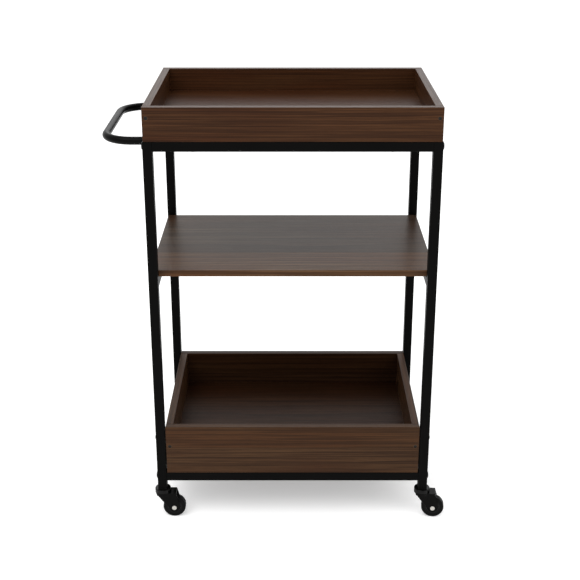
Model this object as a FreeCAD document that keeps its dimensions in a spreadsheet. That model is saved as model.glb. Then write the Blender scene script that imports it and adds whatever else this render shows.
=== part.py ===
"""Three-tier bar cart: a square-tube steel frame on four swivel casters, with a
wooden tray on top, a wooden shelf, a wooden box below and a tubular push handle.

Axes: +X to the right, +Y to the rear, +Z up. The origin is on the floor under the
centre of the bounding box. All sizes are in millimetres.
"""
import FreeCAD, Part
import math
import os
import re
import Sketcher

SHEET_NAME = "Dimensions"

DIMENSIONS = {
    # steel frame
    "frame_width": 600,
    "frame_depth": 415,
    "frame_top": 868,
    "leg_bottom": 73,
    "tube_size": 20,
    "tube_wall": 1.5,
    "tube_corner": 1.5,
    "shelf_rail_top": 572,
    "bottom_rail_top": 113,
    "rear_rail_inset": 36,
    # connector bolts and the threaded plugs they screw into
    "bolt_radius": 3,
    "bolt_clearance": 0.3,
    "bolt_head_radius": 7.5,
    "bolt_head_height": 2.2,
    "bolt_head_round": 1.6,
    "hex_radius": 2.3,
    "hex_depth": 1.6,
    "plug_length": 12,
    "plug_gap": 0.1,
    # top tray
    "tray_length": 597,
    "tray_depth": 412,
    "tray_height": 70,
    "tray_board": 16,
    "tray_floor_top": 20,
    # shelf
    "shelf_length": 595,
    "shelf_depth": 367,
    "shelf_thickness": 14,
    # bottom box
    "box_length": 556,
    "box_depth": 388,
    "box_height": 114,
    "box_board": 16,
    "box_floor_top": 35,
    "box_front_inset": 1,
    # wood joints shared by the tray and the box
    "floor_thickness": 12,
    "tongue_depth": 4,
    "tongue_thickness": 5,
    "tongue_gap": 0.15,
    "board_ease": 0.8,
    # wood screws
    "screw_radius": 1.9,
    "screw_clearance": 0.3,
    "screw_fit": 0.05,
    "screw_head_radius": 3.8,
    "screw_head_height": 1.6,
    "screw_recess": 1.4,
    "pan_head_radius": 4,
    "pan_head_height": 1.8,
    "pan_head_round": 1.2,
    "drive_length": 3.6,
    "drive_width": 0.9,
    "drive_depth": 0.9,
    "joint_screw_length": 38,
    "tray_screw_height": 48,
    "box_screw_height": 66,
    "box_side_screw_height": 85,
    "rail_screw_length": 32,
    "shelf_screw_length": 30,
    "shelf_screw_inset": 40,
    "screw_spread": 400,
    # push handle
    "handle_diameter": 17,
    "handle_wall": 1.5,
    "handle_reach": 87,
    "handle_span": 313,
    "handle_bend": 60,
    # caster wheels
    "caster_trail": 25,
    "front_heading": 5.5,
    "rear_heading": 180,
    "wheel_radius": 25,
    "wheel_width": 18,
    "tread_inner_radius": 17,
    "tread_round": 3,
    "hub_rim_width": 16,
    "hub_rim_radius": 13.5,
    "hub_web_width": 10,
    "hub_boss_radius": 7.5,
    "hub_boss_width": 21,
    # caster axles
    "axle_radius": 4,
    "axle_clearance": 0.06,
    "axle_head_radius": 5.2,
    "axle_head_height": 1.6,
    "axle_head_round": 1,
    # caster forks
    "fork_inside": 22,
    "fork_plate": 2,
    "fork_round": 1,
    "crown_top": 62,
    "crown_depth": 6,
    "crown_rear": 30,
    "cheek_radius": 11.5,
    "cheek_front": 11,
    "cheek_waist_height": 41,
    "cheek_shoulder": 24,
    # caster swivel: stem, races and balls
    "race_radius": 17.5,
    "race_gap": 0.6,
    "race_round": 2,
    "race_recess_radius": 15,
    "race_recess_top": 64.6,
    "kingpin_radius": 5,
    "kingpin_clearance": 0.06,
    "kingpin_play": 0.3,
    "kingpin_head_radius": 8,
    "kingpin_head_height": 2.4,
    "stem_length": 25,
    "ball_radius": 2,
    "ball_clearance": 0.08,
    "ball_ring_radius": 11,
    "ball_height": 63.3,
    # plastic inserts in the legs' lower ends
    "insert_flange": 2,
    "insert_depth": 24,
}

BALLS_PER_CASTER = 14

doc = FreeCAD.newDocument("BarCart")
subparts = []


# --- spreadsheet and binding ---------------------------------------------------

def make_sheet():
    """Write every driving dimension into a spreadsheet cell with an alias."""
    sheet = doc.addObject("Spreadsheet::Sheet", SHEET_NAME)
    for row, (alias, value) in enumerate(DIMENSIONS.items(), start=1):
        sheet.set(f"A{row}", alias)
        sheet.set(f"B{row}", str(value))
        sheet.setAlias(f"B{row}", alias)
    doc.recompute()


def size(alias):
    """Value of one driving dimension, read back from the sheet."""
    return float(doc.getObject(SHEET_NAME).get(alias))


def formula(text):
    """Expression text with each alias written as a reference to the sheet."""
    def reference(match):
        word = match.group(0)
        return f"{SHEET_NAME}.{word}" if word in DIMENSIONS else word
    return re.sub(r"[a-z][a-z_]*", reference, str(text))


def bind(target, prop, text):
    """Drive a property of a document object by an expression of the sheet."""
    target.setExpression(prop, formula(text))


# --- expressions that several sub-parts share ----------------------------------

HANDLE_LIMIT = "(frame_width / 2 + handle_reach + handle_diameter / 2)"
CASTER_LIMIT = (
    "(frame_width / 2 - tube_size / 2 + tread_round"
    " + (caster_trail + wheel_radius - tread_round) * cos(front_heading * 1 deg)"
    " + (wheel_width / 2 - tread_round) * sin(front_heading * 1 deg))"
)
CENTRE_X = f"(({HANDLE_LIMIT} - {CASTER_LIMIT}) / 2)"
LEG_X = "(frame_width / 2 - tube_size / 2)"
LEG_Y = "(frame_depth / 2 - tube_size / 2)"
LEG_MIDDLE = "((frame_top + leg_bottom) / 2)"
TOP_RAIL_Z = "(frame_top - tube_size / 2)"
SHELF_RAIL_Z = "(shelf_rail_top - tube_size / 2)"
BOTTOM_RAIL_Z = "(bottom_rail_top - tube_size / 2)"
REAR_RAIL_Y = "(frame_depth / 2 - rear_rail_inset)"
BOLT_HOLE = "(bolt_radius + bolt_clearance)"
SCREW_HOLE = "(screw_radius + screw_clearance)"
PILOT_HOLE = "(screw_radius + screw_fit)"
TRAY_BOARD_Y = "(tray_depth / 2 - tray_board / 2)"
BOX_MIDDLE_Y = "(box_front_inset + box_depth / 2 - frame_depth / 2)"
BOX_FRONT_Y = f"({BOX_MIDDLE_Y} - box_depth / 2 + box_board / 2)"
BOX_REAR_Y = f"({BOX_MIDDLE_Y} + box_depth / 2 - box_board / 2)"
BOX_SIDE_SCREW_Z = "(bottom_rail_top + box_side_screw_height)"
SHELF_SCREW_Y = "(shelf_depth / 2 - shelf_screw_inset)"


# --- sketch and feature helpers ------------------------------------------------

def new_body(label, across="0", along="0", height="0"):
    """Empty body in the row frame, with X measured from the middle of the frame.

    A body may hold one piece or a group of like pieces.
    """
    body = doc.addObject("PartDesign::Body", label)
    body.Label = label
    body.AllowCompound = True
    bind(body, "Placement.Base.x", f"{CENTRE_X} + ({across})")
    bind(body, "Placement.Base.y", along)
    bind(body, "Placement.Base.z", height)
    subparts.append(body)
    return body


def origin_plane(body, role):
    """One of the planes of the body's own origin."""
    for feature in body.Origin.OriginFeatures:
        if feature.Role == role:
            return feature
    raise ValueError(f"no origin feature {role}")


def new_sketch(body, plane, shift=("0", "0", "0")):
    """Sketch on an origin plane, shifted along its own two axes and its normal."""
    sketch = body.newObject("Sketcher::SketchObject", "Sketch")
    sketch.AttachmentSupport = [(origin_plane(body, plane), "")]
    sketch.MapMode = "FlatFace"
    for axis, text in zip("xyz", shift):
        bind(sketch, f"AttachmentOffset.Base.{axis}", text)
    return sketch


def fix_point(sketch, index, point, across, up):
    """Fix one vertex by bound signed distances from the sketch's origin."""
    seed = sketch.getPoint(index, point)
    for kind, value, line, text in (("DistanceX", seed.x, -2, across), ("DistanceY", seed.y, -1, up)):
        if text == "0":
            sketch.addConstraint(Sketcher.Constraint("PointOnObject", index, point, line))
        else:
            number = sketch.addConstraint(Sketcher.Constraint(kind, -1, 1, index, point, value))
            bind(sketch, f"Constraints[{number}]", text)


def add_polygon(sketch, corners):
    """Closed outline through corners given as pairs of expressions."""
    count = len(corners)
    turn = 2 * math.pi / count
    seeds = [FreeCAD.Vector(math.cos(i * turn), math.sin(i * turn), 0) for i in range(count)]
    first = sketch.GeometryCount
    for i in range(count):
        sketch.addGeometry(Part.LineSegment(seeds[i], seeds[(i + 1) % count]), False)
    for i in range(count):
        following = first + (i + 1) % count
        sketch.addConstraint(Sketcher.Constraint("Coincident", first + i, 2, following, 1))
    for i, (across, up) in enumerate(corners):
        fix_point(sketch, first + i, 1, across, up)


def add_rectangle(sketch, width, height, across="0", up="0"):
    """Rectangle of a bound size about a bound centre."""
    left, right = f"({across}) - ({width}) / 2", f"({across}) + ({width}) / 2"
    low, high = f"({up}) - ({height}) / 2", f"({up}) + ({height}) / 2"
    add_polygon(sketch, [(left, low), (right, low), (right, high), (left, high)])


def add_hexagon(sketch, radius, across, up):
    """Hexagon with two corners level with its centre."""
    corners = [
        (f"{across} + {radius} * cos({60 * i} * 1 deg)", f"{up} + {radius} * sin({60 * i} * 1 deg)")
        for i in range(6)
    ]
    add_polygon(sketch, corners)


def add_circle(sketch, radius, across="0", up="0"):
    """Circle of a bound radius about a bound centre."""
    seed = Part.Circle(FreeCAD.Vector(1, 2, 0), FreeCAD.Vector(0, 0, 1), 3)
    index = sketch.addGeometry(seed, False)
    number = sketch.addConstraint(Sketcher.Constraint("Radius", index, seed.Radius))
    bind(sketch, f"Constraints[{number}]", radius)
    fix_point(sketch, index, 3, across, up)


def pad(body, sketch, length):
    """Extrude a sketch by a bound length, half of it each way."""
    feature = body.newObject("PartDesign::Pad", "Pad")
    feature.Profile = sketch
    bind(feature, "Length", length)
    feature.SideType = "Symmetric"
    doc.recompute()
    return feature


def cut(body, sketch, depth=None):
    """Cut a sketch to a bound depth each way, or right through without one."""
    before = body.Shape.Volume
    feature = body.newObject("PartDesign::Pocket", "Pocket")
    feature.Profile = sketch
    feature.SideType = "Symmetric"
    if depth is None:
        feature.Type = "ThroughAll"
    else:
        bind(feature, "Length", f"2 * ({depth})")
    doc.recompute()
    if feature.Shape.Volume > before - 1e-6:
        raise ValueError(f"{body.Label}: a pocket removed nothing")
    return feature


def turn_profile(body, kind, sketch, axis):
    """Full turn of a sketch about its own H_Axis or V_Axis."""
    feature = body.newObject(f"PartDesign::{kind}", kind)
    feature.Profile = sketch
    feature.ReferenceAxis = (sketch, [axis])
    feature.Angle = 360
    doc.recompute()
    return feature


def revolve(body, plane, corners, axis, shift=("0", "0", "0")):
    """Turned solid from a closed polygon."""
    sketch = new_sketch(body, plane, shift)
    add_polygon(sketch, corners)
    return turn_profile(body, "Revolution", sketch, axis)


def drill(body, plane, radius, centres):
    """Holes right through the body, square to one of its origin planes."""
    sketch = new_sketch(body, plane)
    for across, up in centres:
        add_circle(sketch, radius, across, up)
    cut(body, sketch)


def sink(body, plane, offset, radius, centres, depth):
    """Blind round holes of a bound depth from a face at a bound offset."""
    sketch = new_sketch(body, plane, ("0", "0", offset))
    for across, up in centres:
        add_circle(sketch, radius, across, up)
    cut(body, sketch, depth)


def round_edges(body, radius, wanted):
    """Fillet the edges of the body's tip that the test picks."""
    base = body.Tip
    names = [f"Edge{i}" for i, edge in enumerate(base.Shape.Edges, start=1) if wanted(edge)]
    if not names:
        raise ValueError(f"{body.Label}: no edges picked")
    feature = body.newObject("PartDesign::Fillet", "Fillet")
    feature.Base = (base, names)
    bind(feature, "Radius", radius)
    doc.recompute()


def runs_along(edge, axis):
    """True for a straight edge parallel to the named axis."""
    return isinstance(edge.Curve, Part.Line) and abs(getattr(edge.Curve.Direction, axis)) > 0.999


def clear_of_axis(edge, axis, distance):
    """True when the edge lies at least distance from the axis both ways."""
    centre = edge.BoundBox.Center
    return all(abs(getattr(centre, other)) > distance for other in "xyz" if other != axis)


def is_circle(edge, radius):
    """True for a round edge of the given radius."""
    return isinstance(edge.Curve, Part.Circle) and abs(edge.Curve.Radius - radius) < 1e-6


# --- steel frame ---------------------------------------------------------------

TUBE_PLANES = {"x": "YZ_Plane", "y": "XZ_Plane", "z": "XY_Plane"}


def square_tube(label, axis, length, across, along, height):
    """Square tube centred on its body's origin, running along one axis."""
    body = new_body(label, across, along, height)
    sketch = new_sketch(body, TUBE_PLANES[axis])
    add_rectangle(sketch, "tube_size", "tube_size")
    add_rectangle(sketch, "tube_size - 2 * tube_wall", "tube_size - 2 * tube_wall")
    pad(body, sketch, length)
    outer = (size("tube_size") - size("tube_wall")) / 2
    round_edges(
        body, "tube_corner",
        lambda edge: runs_along(edge, axis) and clear_of_axis(edge, axis, outer),
    )
    return body


def make_leg(label, side, row):
    """Corner post, with holes for its rail bolts and, in front, the box screw."""
    body = square_tube(
        label, "z", "frame_top - leg_bottom",
        f"{side} * {LEG_X}", f"{row} * {LEG_Y}", LEG_MIDDLE,
    )
    drill(body, "YZ_Plane", BOLT_HOLE, [("0", f"{TOP_RAIL_Z} - {LEG_MIDDLE}")])
    if row < 0:
        drill(body, "YZ_Plane", BOLT_HOLE, [("0", f"{BOTTOM_RAIL_Z} - {LEG_MIDDLE}")])
        drill(body, "YZ_Plane", SCREW_HOLE, [("0", f"{BOX_SIDE_SCREW_Z} - {LEG_MIDDLE}")])


def make_side_rail(label, side, height):
    """Rail welded between the front and rear legs of one side."""
    return square_tube(
        label, "y", "frame_depth - 2 * tube_size", f"{side} * {LEG_X}", "0", height,
    )


def make_cross_rail(label, along, height, hole_shift):
    """Rail bolted between the two sides, with holes for screws up into the wood."""
    body = square_tube(label, "x", "frame_width - 2 * tube_size", "0", along, height)
    drill(body, "XY_Plane", SCREW_HOLE, [(f"{sign} * screw_spread / 2", hole_shift) for sign in (-1, 1)])


def make_side_frame(name, side):
    """Welded ladder of two legs and three rails at one end of the cart."""
    make_leg(f"leg_front_{name}", side, -1)
    make_leg(f"leg_rear_{name}", side, 1)
    top = make_side_rail(f"top_side_rail_{name}", side, TOP_RAIL_Z)
    if side < 0:
        drill(top, "YZ_Plane", BOLT_HOLE, [(f"{row} * handle_span / 2", "0") for row in (-1, 1)])
    middle = make_side_rail(f"shelf_side_rail_{name}", side, SHELF_RAIL_Z)
    drill(middle, "XY_Plane", SCREW_HOLE, [("0", f"{row} * {SHELF_SCREW_Y}") for row in (-1, 1)])
    bottom = make_side_rail(f"bottom_side_rail_{name}", side, BOTTOM_RAIL_Z)
    drill(bottom, "YZ_Plane", BOLT_HOLE, [(REAR_RAIL_Y, "0")])


def make_cross_rails():
    """The four rails that join the two side frames."""
    tray_shift = f"({TRAY_BOARD_Y} - {LEG_Y})"
    make_cross_rail("top_rail_front", f"-{LEG_Y}", TOP_RAIL_Z, f"-{tray_shift}")
    make_cross_rail("top_rail_rear", LEG_Y, TOP_RAIL_Z, tray_shift)
    make_cross_rail("bottom_rail_front", f"-{LEG_Y}", BOTTOM_RAIL_Z, f"{BOX_FRONT_Y} + {LEG_Y}")
    make_cross_rail("bottom_rail_rear", REAR_RAIL_Y, BOTTOM_RAIL_Z, f"{BOX_REAR_Y} - {REAR_RAIL_Y}")


# --- bolts, plugs and screws ---------------------------------------------------

RAIL_JOINTS = (
    (f"-{LEG_Y}", TOP_RAIL_Z),
    (LEG_Y, TOP_RAIL_Z),
    (f"-{LEG_Y}", BOTTOM_RAIL_Z),
    (REAR_RAIL_Y, BOTTOM_RAIL_Z),
)


def headed_profile(seat, way, head_radius, head_height, shank_radius, shank_length):
    """Half outline of a bolt or screw along the sketch's first axis.

    The head bears at seat, and the shank runs on from it the given way.
    """
    outer = f"({seat}) - ({way}) * ({head_height})"
    tip = f"({seat}) + ({way}) * ({shank_length})"
    return [
        (outer, "0"),
        (tip, "0"),
        (tip, shank_radius),
        (seat, shank_radius),
        (seat, head_radius),
        (outer, head_radius),
    ]


def round_heads(body, head_radius, amount):
    """Round the outer rim of every head, which is where a whole flat face ends."""
    shape = body.Tip.Shape

    def is_outer_rim(edge):
        if not is_circle(edge, size(head_radius)):
            return False
        faces = shape.ancestorsOfType(edge, Part.Face)
        return any(isinstance(face.Surface, Part.Plane) and len(face.Wires) == 1 for face in faces)

    round_edges(body, amount, is_outer_rim)


def bolt_across(body, along, height, seat, way):
    """Connector bolt along X through one tube and into the plug behind it."""
    profile = headed_profile(
        seat, way, "bolt_head_radius", "bolt_head_height", "bolt_radius", "tube_size + plug_length",
    )
    revolve(body, "XZ_Plane", profile, "H_Axis", ("0", height, f"-({along})"))


def hex_sockets(body, centres, face):
    """Hexagon sockets in bolt heads whose outer faces lie at one X."""
    sketch = new_sketch(body, "YZ_Plane", ("0", "0", face))
    for along, height in centres:
        add_hexagon(sketch, "hex_radius", along, height)
    cut(body, sketch, "hex_depth")


def make_frame_bolts():
    """Bolts that clamp the cross rails between the two side frames."""
    body = new_body("frame_bolts")
    for side in (-1, 1):
        for along, height in RAIL_JOINTS:
            bolt_across(body, along, height, f"{side} * frame_width / 2", -side)
    round_heads(body, "bolt_head_radius", "bolt_head_round")
    for side in (-1, 1):
        hex_sockets(body, RAIL_JOINTS, f"{side} * (frame_width / 2 + bolt_head_height)")


def make_rail_plugs():
    """Threaded plugs pressed into the ends of the cross rails."""
    body = new_body("rail_end_plugs")
    for side in (-1, 1):
        middle = f"{side} * (frame_width / 2 - tube_size - plug_length / 2)"
        sketch = new_sketch(body, "YZ_Plane", ("0", "0", middle))
        for along, height in RAIL_JOINTS:
            width = "tube_size - 2 * tube_wall - 2 * plug_gap"
            add_rectangle(sketch, width, width, along, height)
            add_circle(sketch, "bolt_radius", along, height)
        pad(body, sketch, "plug_length")


def screw_profile(seat, way, length, pan=False):
    """Outline of a wood screw, with a flat or a pan head."""
    kind = "pan_head" if pan else "screw_head"
    return headed_profile(seat, way, f"{kind}_radius", f"{kind}_height", "screw_radius", length)


def cross_drives(body, plane, face, centres):
    """Cross-shaped driver recesses in screw heads that lie in one plane."""
    for width, height in (("drive_length", "drive_width"), ("drive_width", "drive_length")):
        sketch = new_sketch(body, plane, ("0", "0", face))
        for across, up in centres:
            add_rectangle(sketch, width, height, across, up)
        cut(body, sketch, "drive_depth")


def make_joint_screws(label, across, height, front, rear):
    """Sunk screws through the front and rear boards into the side boards' ends."""
    body = new_body(label)
    seat_depth = "(screw_recess + screw_head_height)"
    for side in (-1, 1):
        for face, way in ((front, 1), (rear, -1)):
            seat = f"{face} + {way} * {seat_depth}"
            profile = screw_profile(seat, way, "joint_screw_length")
            upright = [(out, along) for along, out in profile]
            revolve(body, "XY_Plane", upright, "V_Axis", (f"{side} * {across}", "0", height))
    centres = [(f"{side} * {across}", height) for side in (-1, 1)]
    for face, way in ((front, 1), (rear, -1)):
        cross_drives(body, "XZ_Plane", f"-({face} + {way} * screw_recess)", centres)


def make_upright_screws(label, places, seat, length):
    """Pan-head screws driven straight up through rails into the wood above."""
    body = new_body(label)
    for across, along in places:
        profile = [(out, up) for up, out in screw_profile(seat, 1, length, pan=True)]
        revolve(body, "XZ_Plane", profile, "V_Axis", (across, "0", f"-({along})"))
    round_heads(body, "pan_head_radius", "pan_head_round")


def shelf_screw_places():
    """Centres of the four screws that hold the shelf to its side rails."""
    return [
        (f"{side} * {LEG_X}", f"{row} * {SHELF_SCREW_Y}")
        for side in (-1, 1)
        for row in (-1, 1)
    ]


def make_box_side_screws():
    """Pan-head screws through the front legs into the ends of the box's front board."""
    body = new_body("box_side_screws")
    for side in (-1, 1):
        profile = screw_profile(f"{side} * frame_width / 2", -side, "joint_screw_length", pan=True)
        revolve(body, "XZ_Plane", profile, "H_Axis", ("0", BOX_SIDE_SCREW_Z, LEG_Y))
    round_heads(body, "pan_head_radius", "pan_head_round")
    for side in (-1, 1):
        face = f"{side} * (frame_width / 2 + pan_head_height)"
        cross_drives(body, "YZ_Plane", face, [(f"-{LEG_Y}", BOX_SIDE_SCREW_Z)])


def make_fasteners():
    """Every group of bolts, plugs and screws outside the handle and the casters."""
    make_frame_bolts()
    make_rail_plugs()
    make_joint_screws(
        "tray_joint_screws", "(tray_length / 2 - tray_board / 2)", "(frame_top + tray_screw_height)",
        "(-tray_depth / 2)", "(tray_depth / 2)",
    )
    make_joint_screws(
        "box_joint_screws", "(box_length / 2 - box_board / 2)", "(bottom_rail_top + box_screw_height)",
        f"({BOX_MIDDLE_Y} - box_depth / 2)", f"({BOX_MIDDLE_Y} + box_depth / 2)",
    )
    signs = (-1, 1)
    spread = [f"{side} * screw_spread / 2" for side in signs]
    tray_places = [(x, f"{row} * {TRAY_BOARD_Y}") for x in spread for row in signs]
    make_upright_screws(
        "tray_fixing_screws", tray_places, "frame_top - tube_size", "rail_screw_length",
    )
    box_places = [(x, y) for x in spread for y in (BOX_FRONT_Y, BOX_REAR_Y)]
    make_upright_screws(
        "box_fixing_screws", box_places, "bottom_rail_top - tube_size", "rail_screw_length",
    )
    make_upright_screws(
        "shelf_fixing_screws", shelf_screw_places(),
        "shelf_rail_top - tube_size", "shelf_screw_length",
    )
    make_box_side_screws()


# --- wooden pieces -------------------------------------------------------------

def make_board(label, length, depth, height, across, along, middle):
    """Board centred on its body's origin, with all its edges eased."""
    body = new_body(label, across, along, middle)
    sketch = new_sketch(body, "XY_Plane")
    add_rectangle(sketch, length, depth)
    pad(body, sketch, height)
    round_edges(body, "board_ease", lambda edge: True)
    return body


def make_open_box(name, length, depth, height, board, floor_top, middle_y, bottom, screw_height):
    """Four butt-jointed boards round a tongued floor panel.

    The sizes are expressions, and bottom is the height of the boards' lower edges.
    """
    middle = f"({bottom} + {height} / 2)"
    floor_low = f"({floor_top} - floor_thickness - {height} / 2)"
    groove_height = "(tongue_thickness + 2 * tongue_gap)"
    groove_middle = f"({floor_low} + tongue_thickness / 2)"
    groove_depth = "(tongue_depth + tongue_gap)"
    inside_length = f"({length} - 2 * {board})"
    inside_depth = f"({depth} - 2 * {board})"
    screw_up = f"({screw_height} - {height} / 2)"
    screw_across = f"({length} / 2 - {board} / 2)"

    for row_name, row in (("front", -1), ("rear", 1)):
        body = make_board(
            f"{name}_{row_name}_board", length, board, height,
            "0", f"{middle_y} + {row} * ({depth} / 2 - {board} / 2)", middle,
        )
        sketch = new_sketch(body, "XZ_Plane", ("0", "0", f"{row} * {board} / 2"))
        add_rectangle(sketch, f"{inside_length} + 2 * {groove_depth}", groove_height, "0", groove_middle)
        cut(body, sketch, groove_depth)
        places = [(f"{side} * {screw_across}", screw_up) for side in (-1, 1)]
        drill(body, "XZ_Plane", PILOT_HOLE, places)
        sink(
            body, "XZ_Plane", f"-{row} * {board} / 2", "screw_head_radius + screw_fit",
            places, "screw_recess + screw_head_height",
        )

    for side_name, side in (("left", -1), ("right", 1)):
        body = make_board(
            f"{name}_{side_name}_board", board, inside_depth, height,
            f"{side} * {screw_across}", middle_y, middle,
        )
        sketch = new_sketch(body, "YZ_Plane", ("0", "0", f"-{side} * {board} / 2"))
        add_rectangle(sketch, f"{inside_depth} + 2 * board_ease", groove_height, "0", groove_middle)
        cut(body, sketch, groove_depth)
        pilot_depth = (
            f"(joint_screw_length + screw_recess + screw_head_height - {board}"
            " + screw_clearance)"
        )
        for row in (-1, 1):
            sink(body, "XZ_Plane", f"{row} * {inside_depth} / 2", PILOT_HOLE, [("0", screw_up)], pilot_depth)

    make_floor_panel(name, inside_length, inside_depth, middle_y, f"({middle} + {floor_low})")


def make_floor_panel(name, inside_length, inside_depth, middle_y, low):
    """Floor panel whose thinner tongue sits in the boards' grooves."""
    body = new_body(f"{name}_floor_panel", "0", middle_y, low)
    sketch = new_sketch(body, "XY_Plane", ("0", "0", "floor_thickness / 2"))
    add_rectangle(sketch, f"{inside_length} - 2 * tongue_gap", f"{inside_depth} - 2 * tongue_gap")
    pad(body, sketch, "floor_thickness")
    tongue = new_sketch(body, "XY_Plane", ("0", "0", "tongue_thickness / 2"))
    reach = "2 * (tongue_depth - tongue_gap)"
    add_rectangle(tongue, f"{inside_length} + {reach}", f"{inside_depth} + {reach}")
    pad(body, tongue, "tongue_thickness")


def finished(label):
    """Sub-part that was made earlier, found by its label."""
    return next(item for item in subparts if item.Label == label)


def add_rail_pilots(name):
    """Pilot holes for the screws that come up through the front and rear rails."""
    places = [(f"{side} * screw_spread / 2", "0") for side in (-1, 1)]
    depth = "rail_screw_length - tube_size + screw_clearance"
    for row in ("front", "rear"):
        board = finished(f"{name}_{row}_board")
        sink(board, "XY_Plane", f"-{name}_height / 2", PILOT_HOLE, places, depth)


def make_tray():
    """Shallow tray on top of the frame."""
    make_open_box(
        "tray", "tray_length", "tray_depth", "tray_height", "tray_board", "tray_floor_top",
        "0", "frame_top", "tray_screw_height",
    )
    add_rail_pilots("tray")


def make_box():
    """Deeper box between the legs, standing on the front and rear bottom rails."""
    make_open_box(
        "box", "box_length", "box_depth", "box_height", "box_board", "box_floor_top",
        BOX_MIDDLE_Y, "bottom_rail_top", "box_screw_height",
    )
    add_rail_pilots("box")
    front = finished("box_front_board")
    screw_place = [(f"-{LEG_Y} - {BOX_FRONT_Y}", "box_side_screw_height - box_height / 2")]
    depth = "joint_screw_length - frame_width / 2 + box_length / 2 + screw_clearance"
    for side in (-1, 1):
        sink(front, "YZ_Plane", f"{side} * box_length / 2", PILOT_HOLE, screw_place, depth)


def make_shelf():
    """Plain shelf lying on the two middle side rails."""
    body = make_board(
        "shelf_panel", "shelf_length", "shelf_depth", "shelf_thickness",
        "0", "0", "shelf_rail_top + shelf_thickness / 2",
    )
    depth = "shelf_screw_length - tube_size + screw_clearance"
    sink(body, "XY_Plane", "-shelf_thickness / 2", PILOT_HOLE, shelf_screw_places(), depth)


# --- push handle ---------------------------------------------------------------

def handle_path(body):
    """Open path down one prong, round a bend, along the grip and back."""
    sketch = new_sketch(body, "XY_Plane")
    near = -size("frame_width") / 2
    far = near - size("handle_reach")
    half = size("handle_span") / 2
    bend = size("handle_bend")
    shoulder = bend * (1 - math.sqrt(0.5))
    front_bend = [(far + bend, -half), (far + shoulder, -half + shoulder), (far, -half + bend)]
    rear_bend = [(x, -y) for x, y in reversed(front_bend)]

    def line(start, end):
        segment = Part.LineSegment(FreeCAD.Vector(*start, 0), FreeCAD.Vector(*end, 0))
        return sketch.addGeometry(segment, False)

    def arc(points):
        curve = Part.Arc(*[FreeCAD.Vector(*point, 0) for point in points])
        return sketch.addGeometry(curve, False)

    lines = [
        line((near, -half), front_bend[0]),
        line(front_bend[2], rear_bend[0]),
        line(rear_bend[2], (near, half)),
    ]
    far_text = "-frame_width / 2 - handle_reach"
    bend_text = f"{far_text} + handle_bend"
    for sign, number, point, other in ((-1, 0, 1, 2), (1, 2, 2, 1)):
        fix_point(sketch, lines[number], point, "-frame_width / 2", f"{sign} * handle_span / 2")
        fix_point(sketch, lines[number], other, bend_text, f"{sign} * handle_span / 2")
    fix_point(sketch, lines[1], 1, far_text, "-handle_span / 2 + handle_bend")
    fix_point(sketch, lines[1], 2, far_text, "handle_span / 2 - handle_bend")
    for points, before, after in ((front_bend, lines[0], lines[1]), (rear_bend, lines[1], lines[2])):
        index = arc(points)
        join_arc(sketch, index, before, after)
    return sketch


def join_arc(sketch, index, before, after):
    """Tie an arc's two ends to the end of one line and the start of the next."""
    joint = sketch.getPoint(before, 2)
    first_end = 1 if sketch.getPoint(index, 1).distanceToPoint(joint) < 1e-6 else 2
    sketch.addConstraint(Sketcher.Constraint("Coincident", index, first_end, before, 2))
    sketch.addConstraint(Sketcher.Constraint("Coincident", index, 3 - first_end, after, 1))
    number = sketch.addConstraint(Sketcher.Constraint("Radius", index, size("handle_bend")))
    bind(sketch, f"Constraints[{number}]", "handle_bend")


def make_handle():
    """Bent round tube, the threaded plugs in its ends and the bolts that hold it."""
    tube = new_body("handle_tube", "0", "0", TOP_RAIL_Z)
    path = handle_path(tube)
    ring = new_sketch(tube, "YZ_Plane", ("0", "0", "-frame_width / 2"))
    add_circle(ring, "handle_diameter / 2", "-handle_span / 2", "0")
    add_circle(ring, "handle_diameter / 2 - handle_wall", "-handle_span / 2", "0")
    doc.recompute()
    pipe = tube.newObject("PartDesign::AdditivePipe", "Pipe")
    pipe.Profile = ring
    pipe.Spine = (path, [])
    doc.recompute()

    plugs = new_body("handle_end_plugs", "0", "0", TOP_RAIL_Z)
    sketch = new_sketch(plugs, "YZ_Plane", ("0", "0", "-frame_width / 2 - plug_length / 2"))
    for row in (-1, 1):
        radius = "handle_diameter / 2 - handle_wall - plug_gap"
        add_circle(sketch, radius, f"{row} * handle_span / 2", "0")
        add_circle(sketch, "bolt_radius", f"{row} * handle_span / 2", "0")
    pad(plugs, sketch, "plug_length")

    bolts = new_body("handle_bolts")
    centres = [(f"{row} * handle_span / 2", TOP_RAIL_Z) for row in (-1, 1)]
    for along, height in centres:
        bolt_across(bolts, along, height, "-frame_width / 2 + tube_size", -1)
    round_heads(bolts, "bolt_head_radius", "bolt_head_round")
    hex_sockets(bolts, centres, "-frame_width / 2 + tube_size + bolt_head_height")


# --- casters -------------------------------------------------------------------

CORNERS = (
    # name, side and row of the leg, and how far the caster has swivelled from trailing to +X
    ("front_left", -1, -1, None),
    ("front_right", 1, -1, (-1, "front_heading")),
    ("rear_left", -1, 1, None),
    ("rear_right", 1, 1, (1, "rear_heading")),
)


def corner_body(label, side, row, heading):
    """Body on one leg's axis, whose own +X is the way that caster trails."""
    body = new_body(label, f"{side} * {LEG_X}", f"{row} * {LEG_Y}")
    if heading:
        way, angle = heading
        rotation = FreeCAD.Rotation(FreeCAD.Vector(0, 0, way), size(angle))
        body.Placement = FreeCAD.Placement(FreeCAD.Vector(), rotation)
        bind(body, "Placement.Rotation.Angle", f"{angle} * 1 deg")
    return body


def race_groove(body):
    """Ring-shaped ball track about the kingpin."""
    sketch = new_sketch(body, "XZ_Plane")
    add_circle(sketch, "ball_radius + ball_clearance", "ball_ring_radius", "ball_height")
    turn_profile(body, "Groove", sketch, "V_Axis")


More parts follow.
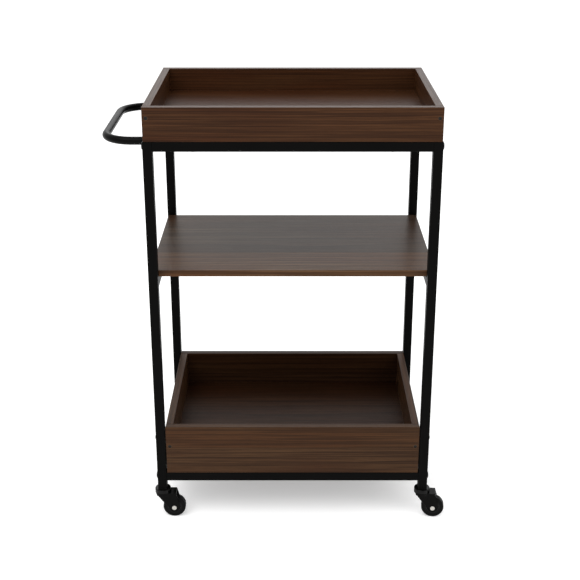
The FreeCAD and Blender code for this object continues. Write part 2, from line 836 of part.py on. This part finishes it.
def make_stem(corner):
    """Threaded stem, upper race and riveted kingpin, which stay fixed to the leg."""
    name, side, row, heading = corner
    body = corner_body(f"caster_{name}_stem", side, row, heading)
    head_top = "(crown_top - fork_plate - kingpin_play)"
    race_low = "(crown_top + race_gap)"
    race_top = "(leg_bottom - insert_flange)"
    revolve(body, "XZ_Plane", [
        ("0", f"{head_top} - kingpin_head_height"),
        ("kingpin_head_radius", f"{head_top} - kingpin_head_height"),
        ("kingpin_head_radius", head_top),
        ("kingpin_radius", head_top),
        ("kingpin_radius", "race_recess_top"),
        ("race_recess_radius", "race_recess_top"),
        ("race_recess_radius", race_low),
        ("race_radius", race_low),
        ("race_radius", race_top),
        ("kingpin_radius", race_top),
        ("kingpin_radius", f"{race_top} + stem_length"),
        ("0", f"{race_top} + stem_length"),
    ], "V_Axis")
    top = size("leg_bottom") - size("insert_flange")
    round_edges(
        body, "race_round",
        lambda edge: is_circle(edge, size("race_radius")) and edge.BoundBox.ZMin > top - 1e-3,
    )
    race_groove(body)


def make_fork(corner):
    """Pressed fork: a round crown that widens over the wheel, and two cheeks."""
    name, side, row, heading = corner
    body = corner_body(f"caster_{name}_fork", side, row, heading)
    outside = "(fork_inside + 2 * fork_plate)"
    crown_middle = ("0", "0", "crown_top - crown_depth / 2")
    crown = new_sketch(body, "XY_Plane", crown_middle)
    add_circle(crown, "race_radius")
    pad(body, crown, "crown_depth")
    tail = new_sketch(body, "XY_Plane", crown_middle)
    add_rectangle(tail, "crown_rear", outside, "crown_rear / 2", "0")
    pad(body, tail, "crown_depth")
    cheek = new_sketch(body, "XZ_Plane")
    add_polygon(cheek, [
        ("-cheek_front", "crown_top - crown_depth"),
        ("0", "cheek_waist_height"),
        ("caster_trail - cheek_radius", "wheel_radius"),
        ("caster_trail + cheek_radius", "wheel_radius"),
        ("caster_trail + cheek_radius", "crown_top - cheek_shoulder"),
        ("crown_rear", "crown_top"),
        ("-cheek_front", "crown_top"),
    ])
    pad(body, cheek, outside)
    eye = new_sketch(body, "XZ_Plane")
    add_circle(eye, "cheek_radius", "caster_trail", "wheel_radius")
    pad(body, eye, outside)
    gap = new_sketch(body, "XZ_Plane")
    add_rectangle(
        gap, "4 * wheel_radius", "crown_top - fork_plate",
        "caster_trail", "(crown_top - fork_plate) / 2",
    )
    cut(body, gap, "fork_inside / 2")
    drill(body, "XZ_Plane", "axle_radius + screw_fit", [("caster_trail", "wheel_radius")])
    drill(body, "XY_Plane", "kingpin_radius + kingpin_clearance", [("0", "0")])
    race_groove(body)
    half = size("fork_inside") / 2 + size("fork_plate")
    round_edges(body, "fork_round", lambda edge: is_cheek_rim(edge, half))


def is_cheek_rim(edge, half):
    """True for an edge of a cheek's outer face, apart from the axle hole."""
    box = edge.BoundBox
    on_face = min(abs(box.YMin - half), abs(box.YMax + half)) < 1e-3 and box.YLength < 1e-3
    hole = isinstance(edge.Curve, Part.Circle) and edge.Curve.Radius < size("axle_head_radius")
    sloping = box.ZLength > 1e-3 and box.ZMax < size("crown_top") - 1e-3
    return on_face and sloping and not hole


WHEEL_SHIFT = ("caster_trail", "0", "wheel_radius")


def make_wheel(corner):
    """Tread and hub, which turn together on the axle."""
    name, side, row, heading = corner
    tread = corner_body(f"caster_{name}_tread", side, row, heading)
    revolve(tread, "XY_Plane", [
        ("tread_inner_radius", "-wheel_width / 2"),
        ("wheel_radius", "-wheel_width / 2"),
        ("wheel_radius", "wheel_width / 2"),
        ("tread_inner_radius", "wheel_width / 2"),
    ], "V_Axis", WHEEL_SHIFT)
    round_edges(tread, "tread_round", lambda edge: is_circle(edge, size("wheel_radius")))

    hub = corner_body(f"caster_{name}_hub", side, row, heading)
    half_profile = [
        ("axle_radius + axle_clearance", "hub_boss_width / 2"),
        ("hub_boss_radius", "hub_boss_width / 2"),
        ("hub_boss_radius", "hub_web_width / 2"),
        ("hub_rim_radius", "hub_web_width / 2"),
        ("hub_rim_radius", "hub_rim_width / 2"),
        ("tread_inner_radius", "hub_rim_width / 2"),
    ]
    other_half = [(radius, f"-{width}") for radius, width in reversed(half_profile)]
    revolve(hub, "XY_Plane", half_profile + other_half, "V_Axis", WHEEL_SHIFT)


def make_axle(corner):
    """Solid rivet through the fork and the hub."""
    name, side, row, heading = corner
    body = corner_body(f"caster_{name}_axle", side, row, heading)
    cheek = "(fork_inside / 2 + fork_plate)"
    end = f"({cheek} + axle_head_height)"
    half_profile = [
        ("0", end),
        ("axle_head_radius", end),
        ("axle_head_radius", cheek),
        ("axle_radius", cheek),
    ]
    other_half = [(radius, f"-{width}") for radius, width in reversed(half_profile)]
    revolve(body, "XY_Plane", half_profile + other_half, "V_Axis", WHEEL_SHIFT)
    outer = size("fork_inside") / 2 + size("fork_plate") + size("axle_head_height")
    round_edges(
        body, "axle_head_round",
        lambda edge: is_circle(edge, size("axle_head_radius"))
        and abs(edge.BoundBox.Center.y) > outer - 1e-3,
    )


def make_balls():
    """Steel balls between the races of all four casters."""
    balls = []
    for name, side, row, _ in CORNERS:
        for number in range(BALLS_PER_CASTER):
            angle = f"({number} * 360 / {BALLS_PER_CASTER} * 1 deg)"
            ball = doc.addObject("Part::Sphere", f"ball_{name}")
            bind(ball, "Radius", "ball_radius")
            middle_x = f"{CENTRE_X} + {side} * {LEG_X}"
            middle_y = f"{row} * {LEG_Y}"
            bind(ball, "Placement.Base.x", f"{middle_x} + ball_ring_radius * cos{angle}")
            bind(ball, "Placement.Base.y", f"{middle_y} + ball_ring_radius * sin{angle}")
            bind(ball, "Placement.Base.z", "ball_height")
            balls.append(ball)
    group = doc.addObject("Part::Compound", "caster_balls")
    group.Label = "caster_balls"
    group.Links = balls
    subparts.append(group)


def make_leg_inserts():
    """Plastic plugs in the legs' lower ends, bored for the caster stems."""
    body = new_body("leg_inserts")
    flange = new_sketch(body, "XY_Plane", ("0", "0", "leg_bottom - insert_flange / 2"))
    plug = new_sketch(body, "XY_Plane", ("0", "0", "leg_bottom + insert_depth / 2"))
    width = "tube_size - 2 * tube_wall - 2 * plug_gap"
    centres = [(f"{side} * {LEG_X}", f"{row} * {LEG_Y}") for _, side, row, _ in CORNERS]
    for across, along in centres:
        add_rectangle(flange, "tube_size", "tube_size", across, along)
        add_rectangle(plug, width, width, across, along)
    pad(body, flange, "insert_flange")
    pad(body, plug, "insert_depth")
    drill(body, "XY_Plane", "kingpin_radius + screw_fit", centres)


def make_casters():
    """The four casters and the parts that carry them."""
    make_leg_inserts()
    for corner in CORNERS:
        make_stem(corner)
        make_fork(corner)
        make_axle(corner)
        make_wheel(corner)
    make_balls()


# --- checks and output ---------------------------------------------------------

def check_document():
    """Stop on any failed object or unusable shape."""
    for item in doc.Objects:
        if "Invalid" in item.State or "Error" in item.State:
            raise ValueError(f"{item.Name} failed: {item.State}")
    for item in subparts:
        shape = item.Shape
        if shape.isNull() or not shape.isValid() or not shape.Solids:
            raise ValueError(f"{item.Label} has no usable shape")


def write_subparts(folder):
    """One STEP file for each named sub-part."""
    os.makedirs(folder, exist_ok=True)
    for item in subparts:
        item.Shape.exportStep(os.path.join(folder, f"{item.Label}.step"))
        print(f"{item.Label}: {len(item.Shape.Solids)} solid(s), {item.Shape.Volume:.0f} mm3")


def main():
    make_sheet()
    make_side_frame("left", -1)
    make_side_frame("right", 1)
    make_cross_rails()
    make_fasteners()
    make_tray()
    make_shelf()
    make_box()
    make_handle()
    make_casters()
    doc.recompute()
    check_document()
    write_subparts("parts")


if __name__ == "__main__":
    main()
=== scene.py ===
"""Looks of the bar cart: stained wood, black powder-coated steel, plastic and rubber.

Every shape comes from the CAD frame. This script gives each node its material, and
adds the floor, the lights and the camera. Lengths are in metres.
"""
import math

import bpy
from mathutils import Matrix, Vector


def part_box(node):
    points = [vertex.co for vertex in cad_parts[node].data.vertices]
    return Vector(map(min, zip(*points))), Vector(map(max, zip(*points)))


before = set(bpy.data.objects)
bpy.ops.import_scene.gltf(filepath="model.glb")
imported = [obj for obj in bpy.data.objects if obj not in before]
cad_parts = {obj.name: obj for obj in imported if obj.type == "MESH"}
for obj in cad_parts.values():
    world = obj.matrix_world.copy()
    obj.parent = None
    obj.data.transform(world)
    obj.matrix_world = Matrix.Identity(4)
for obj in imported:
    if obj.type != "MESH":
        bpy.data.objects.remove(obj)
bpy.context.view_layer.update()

MM = 0.001


# --- node helpers --------------------------------------------------------------

# cosine between the bevelled and the plain normal where an edge starts, and where it is full
EDGE_BEND = (0.99, 0.80)


class Graph:
    """A material's node tree, with short calls for the nodes used here."""

    def __init__(self, name):
        self.material = bpy.data.materials.new(name)
        self.material.use_nodes = True
        self.tree = self.material.node_tree
        self.shader = self.tree.nodes["Principled BSDF"]

    def add(self, kind, settings=None, **inputs):
        """New node with its settings, and its inputs given as values or sockets."""
        node = self.tree.nodes.new(f"ShaderNode{kind}")
        for key, value in (settings or {}).items():
            setattr(node, key, value)
        for key, value in inputs.items():
            self.feed(node.inputs[key.replace("_", " ")], value)
        return node

    def feed(self, socket, value):
        """Link a socket, or set the input's own value."""
        if isinstance(value, bpy.types.NodeSocket):
            self.tree.links.new(value, socket)
        else:
            socket.default_value = value

    def math(self, operation, first, second=0.0):
        """Result of one Math node."""
        node = self.add("Math", {"operation": operation})
        self.feed(node.inputs[0], first)
        self.feed(node.inputs[1], second)
        return node.outputs[0]

    def times(self, first, second):
        """Product of two values."""
        return self.math("MULTIPLY", first, second)

    def spread(self, value, low, high, to_low=0.0, to_high=1.0):
        """Value mapped from one range to another, held at the ends."""
        node = self.add("MapRange", Value=value)
        ends = {"From Min": low, "From Max": high, "To Min": to_low, "To Max": to_high}
        for key, number in ends.items():
            node.inputs[key].default_value = number
        return node.outputs[0]

    def mix(self, factor, first, second, blend="MIX"):
        """Colour mixed from two colours."""
        node = self.add("Mix", {"data_type": "RGBA", "blend_type": blend})
        self.feed(node.inputs["Factor"], factor)
        self.feed(node.inputs[6], first)
        self.feed(node.inputs[7], second)
        return node.outputs[2]

    def noise(self, vector, scale, detail, roughness=0.5):
        """Noise value at a vector."""
        node = self.add(
            "TexNoise", Vector=vector, Scale=scale, Detail=detail, Roughness=roughness,
        )
        return node.outputs["Fac"]

    def bump(self, height, distance, strength, under=None):
        """Normal bent by a height map, over another bump if one is given."""
        node = self.add("Bump", Height=height, Distance=distance, Strength=strength)
        if under is not None:
            self.feed(node.inputs["Normal"], under)
        return node.outputs[0]

    def position(self):
        """Place in the shared frame, as every CAD object sits at the origin."""
        return self.add("TexCoord").outputs["Object"]

    def stretched(self, vector, scale):
        """Vector scaled along each axis."""
        node = self.add("Mapping", Vector=vector)
        node.inputs["Scale"].default_value = scale
        return node.outputs[0]

    def edge_mask(self, radius, samples=6):
        """Near 1 on an outer edge, and 0 on the flats."""
        bevel = self.add("Bevel", {"samples": samples}, Radius=radius)
        plain = self.add("NewGeometry")
        dot = self.add("VectorMath", {"operation": "DOT_PRODUCT"})
        self.feed(dot.inputs[0], bevel.outputs[0])
        self.feed(dot.inputs[1], plain.outputs["Normal"])
        return self.spread(dot.outputs["Value"], *EDGE_BEND)

    def set(self, **values):
        """Constant or linked values on the shader's own sockets."""
        for key, value in values.items():
            self.feed(self.shader.inputs[key.replace("_", " ")], value)


def colour(red, green, blue):
    """Opaque linear colour."""
    return (red, green, blue, 1.0)


def scaled(tone, factor):
    """Tone made lighter or darker."""
    return colour(*(channel * factor for channel in tone[:3]))


def tinted(tone, gains):
    """Tone with a factor of its own on each channel."""
    return colour(*(channel * gain for channel, gain in zip(tone, gains)))


# --- wood ----------------------------------------------------------------------

GRAIN_TURN = {"x": 0.0, "y": -math.pi / 2}   # brings a board's grain onto the pattern's X axis
RING_PERIOD = 2 * math.pi / 20               # of the Wave node's rings, at scale 1
SEED_HOP = 1.37                              # along the log, from one seed's cut to the next
PLANK_HOP = (0.71, 0.013, -0.047)            # from one glued plank's place in the log to the next

# scale of each pattern along the grain and across it
RING_STRETCH = (0.16, 1.0, 1.0)
STREAK_STRETCH = (3.0, 230.0, 230.0)
FIBRE_STRETCH = (14.0, 900.0, 900.0)
PORE_STRETCH = (26.0, 1500.0, 1500.0)
PATCH_STRETCH = (2.2, 14.0, 14.0)

# factors on the red, green and blue of a board's tone
DARK_GRAIN = (0.42, 0.36, 0.36)
RED_STAIN = (1.25, 0.85, 0.72)
# the paler edge tone below is partly worn stain and partly a painted highlight
EDGE_WEAR_AND_HIGHLIGHT_GAIN = (1.9, 2.2, 2.6)
EDGE_WEAR_AND_HIGHLIGHT_LIFT = (0.03, 0.025, 0.02)              # added to the paler edge tone of worn stain and painted highlight

EDGE_WEAR_AND_HIGHLIGHT_BAND = 1.6 * MM                         # width of the paler band along an edge, of rubbed stain and painted highlight
SEAM_LINE = (0.9 * MM, 0.2 * MM)             # from a seam, where its dark line starts and is full
GRAIN_RELIEF = 0.10 * MM


def log_coordinates(g, node, along, pith, seed):
    """Place within the log that a board was cut from, with the pith on the X axis."""
    low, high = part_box(node)
    turn = Matrix.Rotation(GRAIN_TURN[along], 3, "Z")
    middle = turn @ ((low + high) / 2)
    mapping = g.add("Mapping", Vector=g.position())
    mapping.inputs["Rotation"].default_value = (0.0, 0.0, GRAIN_TURN[along])
    mapping.inputs["Location"].default_value = (
        seed * SEED_HOP - middle.x, pith[0] - middle.y, pith[1] - middle.z,
    )
    return mapping.outputs[0]


def yearly_rings(g, grain, ring):
    """Saw-toothed rings of a given width, which wander slowly along the log."""
    node = g.add(
        "TexWave", {"wave_type": "RINGS", "rings_direction": "X", "wave_profile": "SAW"},
        Vector=g.stretched(grain, RING_STRETCH), Scale=RING_PERIOD / ring,
        Distortion=9.0, Detail=2.0, Detail_Scale=0.16, Detail_Roughness=0.5,
    )
    return node.outputs["Fac"]


def wood(name, node, tone, seed, along, ring, pith, contrast, gloss=0.36, seam=None, polish=0.08):
    """Stained and varnished softwood for one board.

    The pattern is solid, so faces show long grain and ends show rings. The pith says
    how far the board's middle lies from the log's, across the grain. A seam is the
    axis and the place where two glued planks meet, and the second plank's tint.
    """
    g = Graph(name)
    grain = log_coordinates(g, node, along, pith, seed)
    if seam is not None:
        axis, place, tint = seam
        across = g.add("SeparateXYZ", Vector=g.position()).outputs[axis]
        plank = g.math("GREATER_THAN", across, place)
        hop = g.add("VectorMath", {"operation": "SCALE"}, Scale=plank)
        hop.inputs[0].default_value = PLANK_HOP
        moved = g.add("VectorMath", {"operation": "ADD"})
        g.feed(moved.inputs[0], grain)
        g.feed(moved.inputs[1], hop.outputs[0])
        grain = moved.outputs[0]

    late = g.math("POWER", yearly_rings(g, grain, ring), 3.0)
    streaks = g.noise(g.stretched(grain, STREAK_STRETCH), scale=1.0, detail=2.0, roughness=0.6)
    fibres = g.noise(g.stretched(grain, FIBRE_STRETCH), scale=1.0, detail=2.0, roughness=0.6)
    pores = g.noise(g.stretched(grain, PORE_STRETCH), scale=1.0, detail=1.0)
    pores = g.spread(pores, 0.60, 0.72)
    patches = g.noise(g.stretched(grain, PATCH_STRETCH), scale=1.0, detail=2.0)

    dark = tinted(tone, DARK_GRAIN)
    body = g.mix(g.spread(patches, 0.35, 0.65), scaled(tone, 0.92), scaled(tone, 1.35))
    body = g.mix(g.spread(patches, 0.60, 0.38, 0.0, 0.5), body, tinted(tone, RED_STAIN))
    body = g.mix(g.times(late, contrast), body, dark)
    body = g.mix(g.spread(streaks, 0.46, 0.62, 0.0, 0.72), body, dark)
    body = g.mix(g.spread(fibres, 0.40, 0.70, 0.0, 0.40), body, dark)
    body = g.mix(g.times(pores, 0.5), body, scaled(dark, 0.6))

    height = g.math("ADD", g.times(late, 0.4), g.times(fibres, 0.6))
    height = g.math("SUBTRACT", height, g.times(pores, 0.5))
    if seam is not None:
        body = g.mix(plank, body, colour(*tint), "MULTIPLY")
        away = g.math("ABSOLUTE", g.math("SUBTRACT", across, place))
        line = g.spread(away, *SEAM_LINE)
        body = g.mix(g.times(line, 0.6), body, scaled(dark, 0.6))
        height = g.math("SUBTRACT", height, line)

    # the stain is rubbed thin along the eased edges, and the paler band there is also a painted
    # highlight
    pale_edge = g.times(g.edge_mask(EDGE_WEAR_AND_HIGHLIGHT_BAND), g.spread(streaks, 0.30, 0.60, 0.55, 1.0))
    pale = [channel + lift for channel, lift in zip(tinted(tone, EDGE_WEAR_AND_HIGHLIGHT_GAIN), EDGE_WEAR_AND_HIGHLIGHT_LIFT)]
    body = g.mix(g.times(pale_edge, 0.8), body, colour(*pale))

    varnish = g.spread(fibres, 0.2, 0.8, gloss - 0.06, gloss + 0.10)
    rough = g.math("ADD", varnish, g.times(pale_edge, 0.08))
    relief = g.bump(height, distance=GRAIN_RELIEF, strength=0.7)
    g.set(Base_Color=body, Roughness=rough, Normal=relief, Specular_IOR_Level=polish)
    return g.material


# --- metal, plastic and rubber -------------------------------------------------

def powder_coat(name, tone, gloss=0.42, shine=0.035):
    """Satin black coating with a fine orange peel, paler on the corners."""
    g = Graph(name)
    place = g.position()
    grains = g.noise(place, scale=1400.0, detail=2.0, roughness=0.6)
    waves = g.noise(place, scale=260.0, detail=2.0)
    smudges = g.noise(place, scale=9.0, detail=4.0, roughness=0.55)
    thin = g.edge_mask(1.2 * MM, samples=4)
    base = g.mix(g.spread(smudges, 0.35, 0.70), scaled(tone, 0.8), scaled(tone, 1.35))
    base = g.mix(g.times(grains, 0.35), base, scaled(tone, 2.0))
    base = g.mix(g.times(thin, 0.5), base, scaled(tone, 4.0))
    rough = g.spread(smudges, 0.3, 0.7, gloss - 0.05, gloss + 0.07)
    under = g.bump(waves, distance=0.10 * MM, strength=0.5)
    relief = g.bump(grains, distance=0.05 * MM, strength=0.35, under=under)
    g.set(Base_Color=base, Roughness=rough, Normal=relief, Specular_IOR_Level=shine)
    return g.material


def bare_metal(name, tone, gloss, grime=0.5):
    """Steel with a fine uneven surface, darker patches of dirt and brighter edges."""
    g = Graph(name)
    place = g.position()
    unevenness = g.noise(place, scale=600.0, detail=3.0, roughness=0.7)
    dirt = g.spread(g.noise(place, scale=220.0, detail=3.0, roughness=0.6), 0.38, 0.68)
    pale_edge = g.edge_mask(0.6 * MM, samples=4)
    base = g.mix(g.times(dirt, grime), tone, scaled(tone, 0.45))
    base = g.mix(g.times(pale_edge, 0.5), base, scaled(tone, 1.35))
    rough = g.spread(unevenness, 0.25, 0.75, gloss - 0.06, gloss + 0.14)
    relief = g.bump(unevenness, distance=0.03 * MM, strength=0.6)
    g.set(Base_Color=base, Metallic=1.0, Roughness=rough, Normal=relief)
    return g.material


def moulded_plastic(name, tone, gloss=0.38):
    """Black nylon with a fine spark-eroded texture and rubbed edges."""
    g = Graph(name)
    place = g.position()
    texture = g.noise(place, scale=2600.0, detail=2.0, roughness=0.6)
    flow = g.noise(place, scale=60.0, detail=3.0)
    pale_edge = g.edge_mask(0.8 * MM, samples=4)
    base = g.mix(g.spread(flow, 0.35, 0.7), scaled(tone, 0.8), scaled(tone, 1.3))
    base = g.mix(g.times(pale_edge, 0.6), base, scaled(tone, 3.0))
    rough = g.spread(flow, 0.3, 0.7, gloss - 0.05, gloss + 0.08)
    relief = g.bump(texture, distance=0.03 * MM, strength=0.5)
    g.set(Base_Color=base, Roughness=rough, Normal=relief, Specular_IOR_Level=0.12)
    return g.material


def tread_rubber(name, tone):
    """Black rubber with dull patches of dust, and paler along its edges."""
    g = Graph(name)
    place = g.position()
    texture = g.noise(place, scale=1800.0, detail=3.0, roughness=0.6)
    dust = g.spread(g.noise(place, scale=130.0, detail=4.0, roughness=0.65), 0.42, 0.75)
    scuffed = g.edge_mask(3.0 * MM)
    base = g.mix(g.times(dust, 0.35), tone, scaled(tone, 3.2))
    base = g.mix(g.times(scuffed, 0.35), base, scaled(tone, 2.4))
    rough = g.spread(dust, 0.0, 1.0, 0.42, 0.66)
    relief = g.bump(texture, distance=0.05 * MM, strength=0.6)
    g.set(Base_Color=base, Roughness=rough, Normal=relief, Specular_IOR_Level=0.06)
    return g.material


# --- materials of the nodes ----------------------------------------------------

def dress(material, *nodes):
    """Put one material on every slot of some CAD nodes."""
    for node in nodes:
        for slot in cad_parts[node].material_slots:
            slot.material = material


def named(*words):
    """CAD nodes whose names hold all the words."""
    return [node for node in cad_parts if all(word in node for word in words)]


TRAY_TONE = colour(0.044, 0.0180, 0.0068)
BOX_TONE = colour(0.047, 0.0230, 0.0100)
# darker copy of the box's wood for its rear board and floor: painted shade inside the box
BOX_PAINTED_SHADE_TONE = colour(0.024, 0.0105, 0.0048)
SHELF_TONE = colour(0.076, 0.0400, 0.0190)
STEEL_TONE = colour(0.0014, 0.0013, 0.0012)
BLACKENED_TONE = colour(0.03, 0.027, 0.024)
PLASTIC_TONE = colour(0.003, 0.003, 0.003)
RUBBER_TONE = colour(0.0025, 0.0025, 0.0024)
ZINC_TONE = colour(0.54, 0.52, 0.48)

# axis and place where a board's two planks meet, and the tint of the plank beyond it
BOX_SEAM = ("Z", 0.176, (1.12, 1.14, 1.06))
SHELF_SEAM = ("Y", -0.075, (0.62, 0.76, 1.00))

GRAIN_ALONG = {"front": "x", "rear": "x", "left": "y", "right": "y"}
PANEL_PITH = (0.03, 0.22)                    # a panel is cut far above the pith


def dress_board(name, node, *cut, **finish):
    """Give one board a wood material of its own."""
    dress(wood(name, node, *cut, **finish), node)


def dress_wood():
    """Each board has its own cut of the log, so no two show the same grain.

    The box's front and rear boards and the shelf are of two planks. The box's rear
    board and floor are darker than its other boards: painted shade inside the box.
    """
    for number, (side, along) in enumerate(GRAIN_ALONG.items(), start=1):
        dress_board(
            f"tray_wood_{side}", f"tray_{side}_board", TRAY_TONE, seed=number, along=along,
            ring=4.6 * MM, pith=(0.030 + 0.012 * number, 0.060 - 0.010 * number), contrast=0.80,
        )
        # the box's rear board takes the darker tone of painted shade
        dress_board(
            f"box_wood_{side}", f"box_{side}_board",
            BOX_PAINTED_SHADE_TONE if side == "rear" else BOX_TONE, seed=number + 5, along=along,
            ring=7.0 * MM, pith=(0.045 + 0.010 * number, 0.035 + 0.012 * number), contrast=0.80,
            seam=BOX_SEAM if along == "x" else None,
        )
    dress_board(
        "tray_wood_floor", "tray_floor_panel", TRAY_TONE, seed=11, along="x",
        ring=7.0 * MM, pith=PANEL_PITH, contrast=0.65, polish=0.07,
    )
    # the box's floor takes the darker tone of painted shade
    dress_board(
        "box_wood_floor_painted_shade", "box_floor_panel", BOX_PAINTED_SHADE_TONE, seed=12, along="x",
        ring=8.0 * MM, pith=PANEL_PITH, contrast=0.6, polish=0.05,
    )
    dress_board(
        "shelf_wood", "shelf_panel", SHELF_TONE, seed=13, along="x",
        ring=8.0 * MM, pith=PANEL_PITH, contrast=0.8, gloss=0.30, seam=SHELF_SEAM, polish=0.058,
    )


def dress_metal():
    """Frame, handle, fasteners and the metal of the casters."""
    steel = powder_coat("steel_coat", STEEL_TONE)
    dress(steel, *named("leg_front"), *named("leg_rear"), *named("_rail_"))
    dress(powder_coat("handle_coat", STEEL_TONE, gloss=0.30, shine=0.05), "handle_tube")
    bolts = powder_coat("bolt_coat", scaled(STEEL_TONE, 1.3), gloss=0.34, shine=0.12)
    dress(bolts, "frame_bolts", "handle_bolts", "box_side_screws")
    dark = bare_metal("blackened_steel", BLACKENED_TONE, gloss=0.45)
    dress(dark, "tray_joint_screws", "box_joint_screws")
    zinc = bare_metal("zinc_plate", ZINC_TONE, gloss=0.30)
    dress(zinc, *named("_fixing_screws"), "caster_balls")
    axles = bare_metal("axle_zinc", ZINC_TONE, gloss=0.26, grime=0.35)
    dress(axles, *named("caster_", "_axle"))
    forks = powder_coat("fork_coat", scaled(STEEL_TONE, 1.2), gloss=0.22, shine=0.05)
    dress(forks, *named("caster_", "_fork"))
    stems = powder_coat("stem_coat", scaled(STEEL_TONE, 1.4), gloss=0.18, shine=0.12)
    dress(stems, *named("caster_", "_stem"))


def dress_plastic():
    """Inserts, plugs, wheel hubs and treads."""
    plastic = moulded_plastic("black_nylon", PLASTIC_TONE)
    dress(plastic, "leg_inserts", *named("_end_plugs"))
    hubs = moulded_plastic("hub_nylon", scaled(PLASTIC_TONE, 1.2), gloss=0.32)
    dress(hubs, *named("caster_", "_hub"))
    dress(tread_rubber("tread_rubber", RUBBER_TONE), *named("caster_", "_tread"))


# --- studio --------------------------------------------------------------------

FLOOR_HALF = 40.0
FLOOR_GLOW = 0.32                            # emission, which keeps the cart's shadow light
FLOOR_TONE = colour(0.86, 0.86, 0.86)
FLOOR_SPECKS = colour(0.88, 0.88, 0.88)
ROOM_GLOW = 1.0
LIGHT_AIM = Vector((0.0, 0.0, 0.45))         # the middle of the cart
CAMERA_PLACE = (0.022, -2.345, 1.428)
CAMERA_PITCH = math.radians(20.2)            # down from level
CAMERA_LENS = 68.8
CAMERA_SHIFT = -0.07


def make_floor():
    """Plain pale floor under the wheels, with a low glow."""
    mesh = bpy.data.meshes.new("studio_floor")
    signs = ((-1, -1), (1, -1), (1, 1), (-1, 1))
    corners = [(x * FLOOR_HALF, y * FLOOR_HALF, 0.0) for x, y in signs]
    mesh.from_pydata(corners, [], [(0, 1, 2, 3)])
    floor = bpy.data.objects.new("studio_floor", mesh)
    bpy.context.scene.collection.objects.link(floor)
    g = Graph("floor_paint")
    specks = g.noise(g.position(), scale=40.0, detail=3.0)
    paint = g.mix(g.spread(specks, 0.3, 0.7), FLOOR_TONE, FLOOR_SPECKS)
    g.set(Base_Color=paint, Roughness=0.9, Specular_IOR_Level=0.1)
    g.set(Emission_Color=colour(1.0, 1.0, 1.0), Emission_Strength=FLOOR_GLOW)
    mesh.materials.append(g.material)


def soft_light(name, place, size, power):
    """Square softbox that faces the middle of the cart."""
    light = bpy.data.lights.new(name, "AREA")
    light.shape = "SQUARE"
    light.size = size
    light.energy = power
    lamp = bpy.data.objects.new(name, light)
    lamp.location = place
    lamp.rotation_euler = (LIGHT_AIM - Vector(place)).to_track_quat("-Z", "Y").to_euler()
    bpy.context.scene.collection.objects.link(lamp)


def make_light():
    """White room with a softbox above the front left, and weaker ones front right and behind."""
    world = bpy.data.worlds.new("studio_world")
    bpy.context.scene.world = world
    world.use_nodes = True
    background = world.node_tree.nodes["Background"]
    background.inputs["Color"].default_value = colour(1.0, 1.0, 1.0)
    background.inputs["Strength"].default_value = ROOM_GLOW
    soft_light("key_softbox", place=(-1.2, -1.6, 3.2), size=2.4, power=50.0)
    soft_light("fill_softbox", place=(2.4, -2.0, 2.0), size=2.0, power=18.0)
    soft_light("rear_softbox", place=(0.0, 2.6, 2.6), size=2.4, power=25.0)


def make_camera():
    """Camera in front of the cart and above it, looking down."""
    lens = bpy.data.cameras.new("camera")
    lens.lens = CAMERA_LENS
    lens.shift_y = CAMERA_SHIFT
    camera = bpy.data.objects.new("camera", lens)
    camera.location = CAMERA_PLACE
    camera.rotation_euler = (math.pi / 2 - CAMERA_PITCH, 0.0, 0.0)
    bpy.context.scene.collection.objects.link(camera)
    bpy.context.scene.camera = camera


dress_wood()
dress_metal()
dress_plastic()
make_floor()
make_light()
make_camera()
bpy.context.scene.view_settings.view_transform = "Standard"
